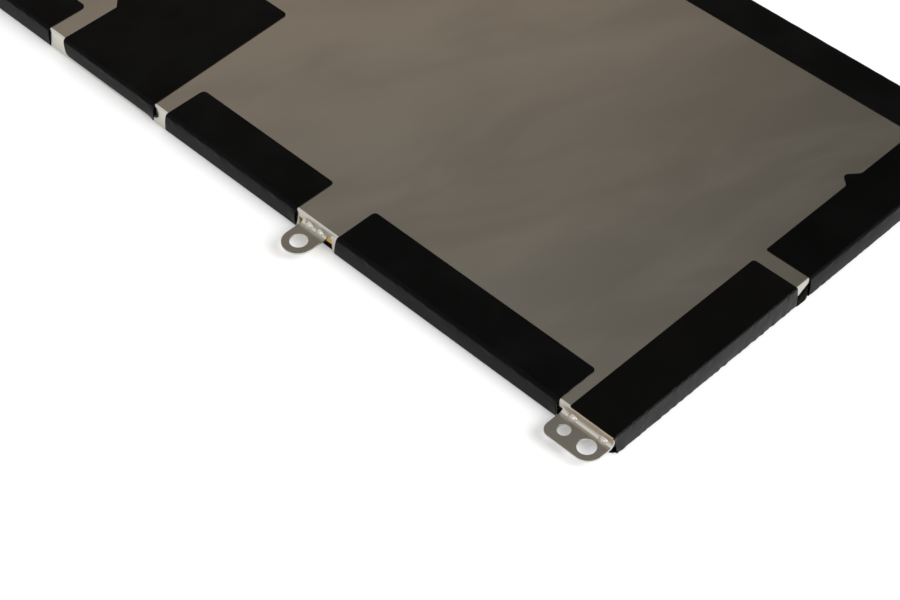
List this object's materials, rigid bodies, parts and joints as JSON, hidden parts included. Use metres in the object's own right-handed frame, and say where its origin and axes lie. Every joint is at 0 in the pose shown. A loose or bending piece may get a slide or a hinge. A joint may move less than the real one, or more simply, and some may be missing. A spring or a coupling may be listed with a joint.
{
  "type": "laptop battery pack",
  "caption": "Thin flat battery pack: pouch cells and a protection board under a satin steel tray with folded edges and screw lugs, bound at its edges with black tape.",
  "frame": {"origin": "middle of the front film's outer face, which the pack lies on", "axes": "+X along the pack, +Y from the edge with the lugs to the plain edge, +Z from the front film up to the steel tray"},
  "size_m": [0.2368, 0.0986, 0.0046],
  "materials": {
    "satin_steel": "satin stainless sheet, faintly rolled",
    "black_tape": "matte black polyester tape",
    "front_film": "satin black film",
    "clear_adhesive": "double-sided adhesive sheet",
    "cell_pouch": "matte aluminium laminate",
    "aluminium_tab": "bare aluminium strip",
    "nickel_tab": "bare nickel strip",
    "black_insulator": "matte black insulating card",
    "board_mask": "dark solder mask",
    "black_foam": "black foam strip",
    "amber_tape": "amber polyimide tape",
    "chip_resin": "moulded chip package",
    "fuse_body": "pale ceramic",
    "resistor_body": "dark coated metal strip",
    "thermistor_body": "grey ceramic",
    "chip_ceramic": "tan ceramic chips",
    "connector_resin": "moulded black plastic",
    "contact_metal": "gold-plated contacts"
  },
  "bodies": {
    "root": {"back_plate": "satin_steel", "near_tape_outer_right": "black_tape", "near_tape_inner_right": "black_tape", "end_tape_near_right": "black_tape", "end_tape_far_right": "black_tape", "near_tape_outer_left": "black_tape", "near_tape_inner_left": "black_tape", "end_tape_near_left": "black_tape", "end_tape_far_left": "black_tape", "centre_patch": "black_tape", "far_tape": "black_tape", "front_film": "front_film", "film_adhesive": "clear_adhesive", "cell_1": "cell_pouch", "cell_1_positive_tab": "aluminium_tab", "cell_1_negative_tab": "nickel_tab", "cell_adhesive_1": "clear_adhesive", "cell_2": "cell_pouch", "cell_2_positive_tab": "aluminium_tab", "cell_2_negative_tab": "nickel_tab", "cell_adhesive_2": "clear_adhesive", "cell_3": "cell_pouch", "cell_3_positive_tab": "aluminium_tab", "cell_3_negative_tab": "nickel_tab", "cell_adhesive_3": "clear_adhesive", "insulator_right": "black_insulator", "insulator_left": "black_insulator", "protection_board": "board_mask", "board_spacer": "black_foam", "board_cover_tape": "amber_tape", "gauge_chip": "chip_resin", "power_transistors": "chip_resin", "board_fuse": "fuse_body", "sense_resistor": "resistor_body", "thermistor": "thermistor_body", "small_components": "chip_ceramic", "connector_housing": "connector_resin", "connector_contacts": "contact_metal"}
  },
  "joints": []
}
